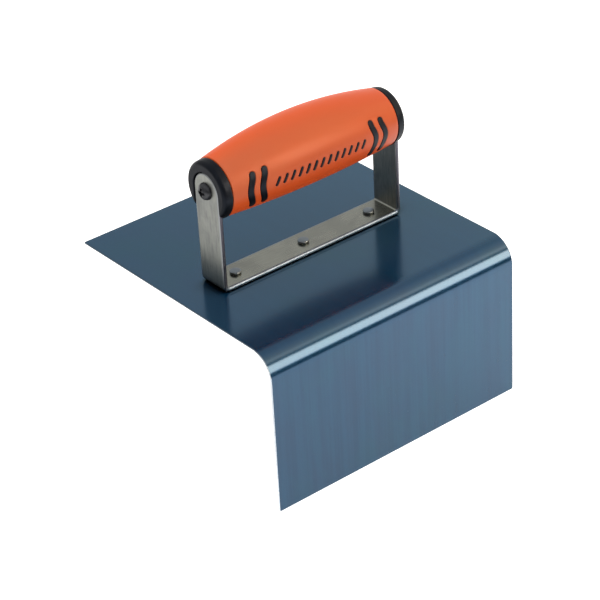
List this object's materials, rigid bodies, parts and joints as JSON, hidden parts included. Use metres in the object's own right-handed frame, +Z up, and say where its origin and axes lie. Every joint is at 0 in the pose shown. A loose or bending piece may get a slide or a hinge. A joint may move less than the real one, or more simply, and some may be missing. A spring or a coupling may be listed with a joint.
{
  "type": "outside step edger",
  "caption": "Concrete step edger: thin spring-steel blade bent over a rounded corner, with a riveted strip bracket and a swollen two-colour hand grip.",
  "frame": {"origin": "middle of the flat underside of the top plate, the face that slides on the concrete", "axes": "+X along the blade's length and the handle, +Y from the flange towards the back edge, +Z up from the working face to the handle"},
  "size_m": [0.1524, 0.1481, 0.1601],
  "materials": {
    "blued_steel": "blued spring steel, satin, fine grain across the bend",
    "bare_steel": "mill-finish strip, dull on the faces, rolled bright on the edges",
    "rivet_steel": "plain steel, dull",
    "black_plastic": "hard black moulding, fine texture",
    "orange_grip": "soft-touch orange elastomer, satin",
    "black_steel": "black oxide, semi-gloss",
    "insert_brass": "plain turned brass"
  },
  "bodies": {
    "root": {"blade": "blued_steel", "bracket": "bare_steel", "rivet_left": "rivet_steel", "rivet_middle": "rivet_steel", "rivet_right": "rivet_steel", "handle_core": "black_plastic", "grip_sleeve": "orange_grip", "screw_left": "black_steel", "screw_right": "black_steel", "insert_left": "insert_brass", "insert_right": "insert_brass"}
  },
  "joints": []
}
